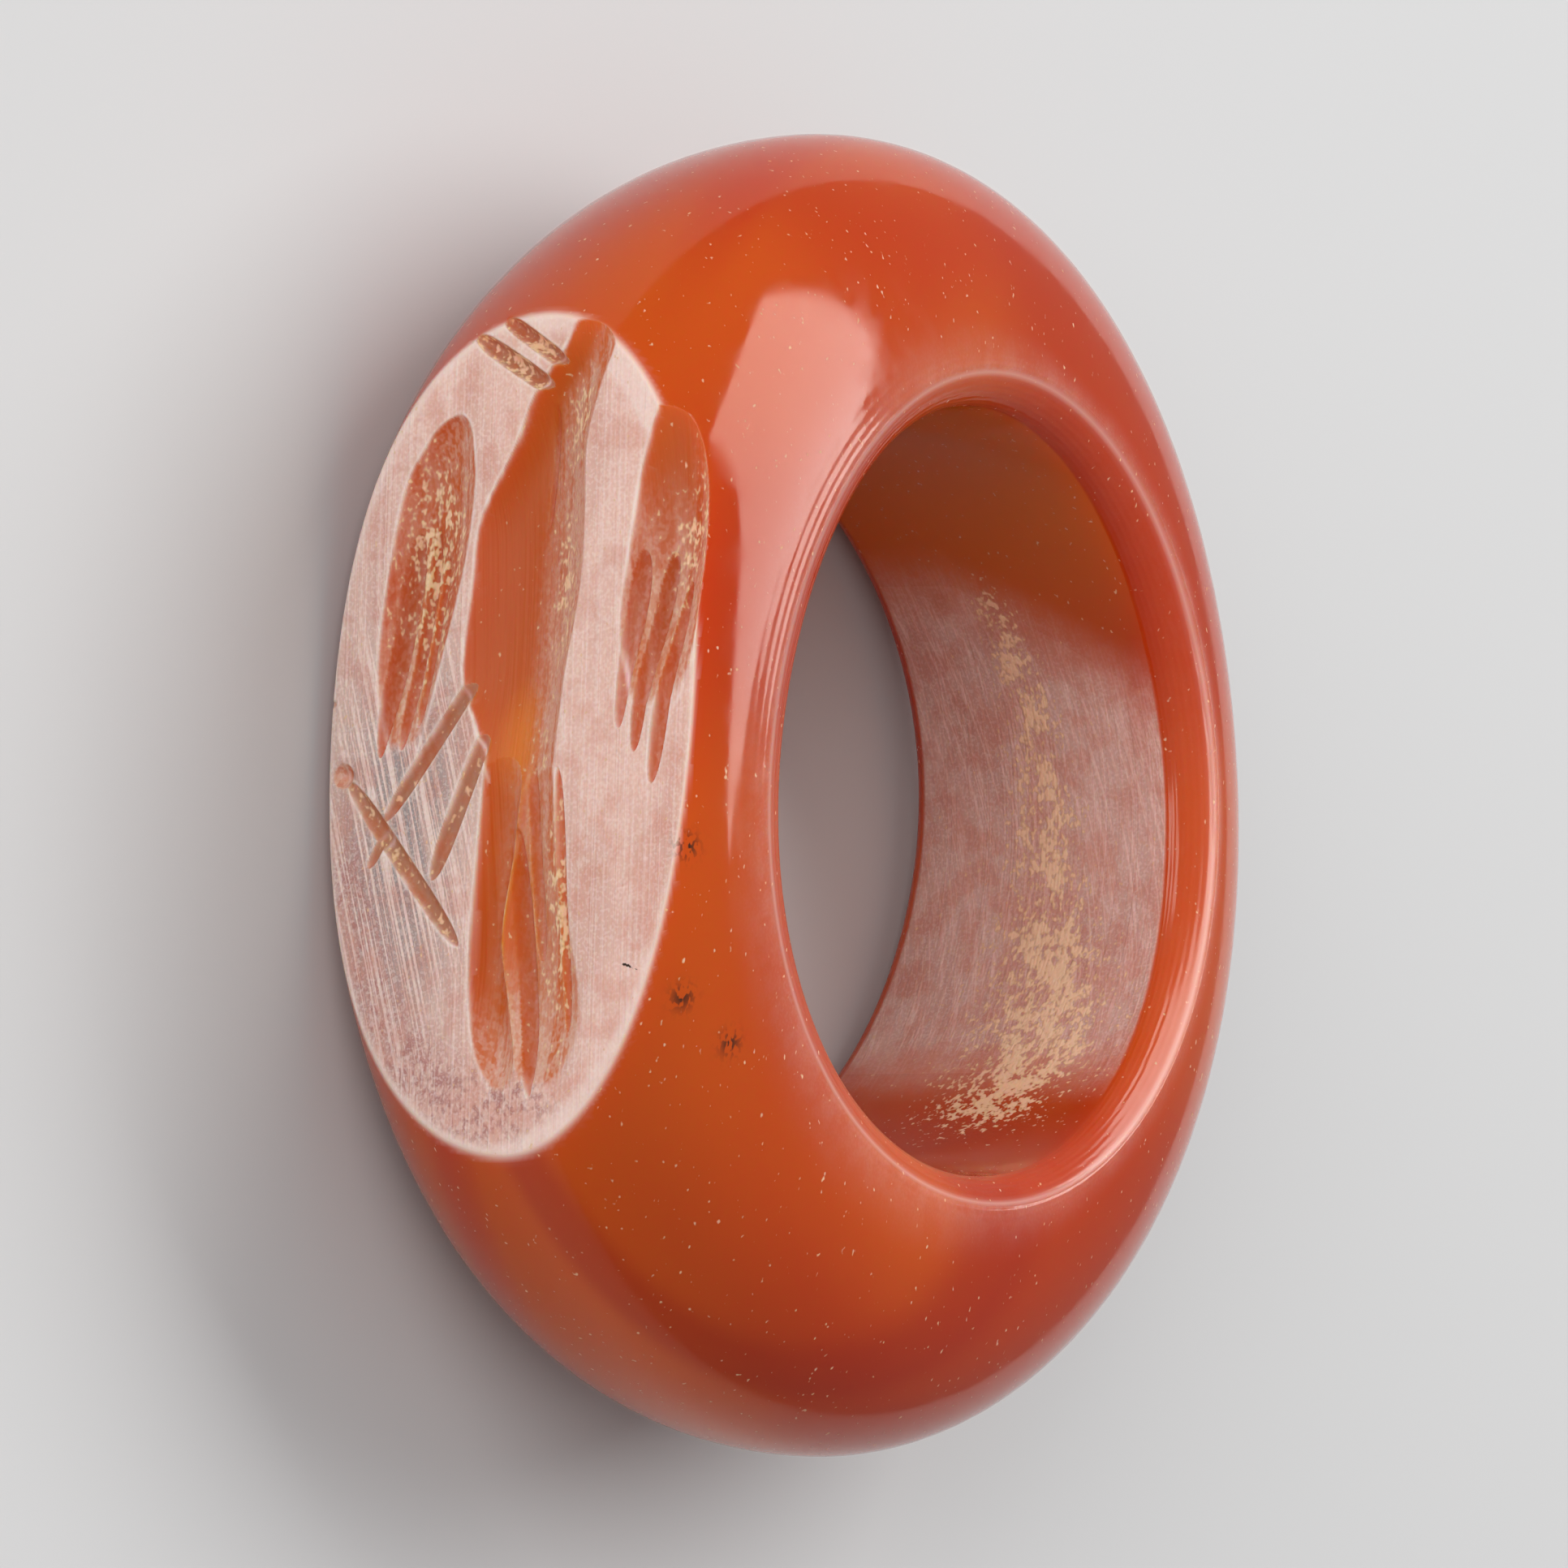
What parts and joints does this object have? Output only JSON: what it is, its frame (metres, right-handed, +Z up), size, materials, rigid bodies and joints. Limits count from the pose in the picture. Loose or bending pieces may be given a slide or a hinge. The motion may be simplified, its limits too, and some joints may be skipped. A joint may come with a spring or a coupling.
{
  "type": "intaglio ring",
  "caption": "One-piece carved stone seal ring lying on its side, with a flat oval face that bears a shallow cut winged figure with a staff.",
  "frame": {"origin": "on the ground, under the middle of the lying ring's box", "axes": "+Z up, along the finger hole; -Y is the side with the carved face; the figure's head points to -X"},
  "size_m": [0.0262, 0.0224, 0.0094],
  "materials": {
    "carnelian": "polished orange-red translucent stone, ground matt on the carved face and in parts of the finger hole"
  },
  "bodies": {
    "root": {"ring": "carnelian"}
  },
  "joints": []
}
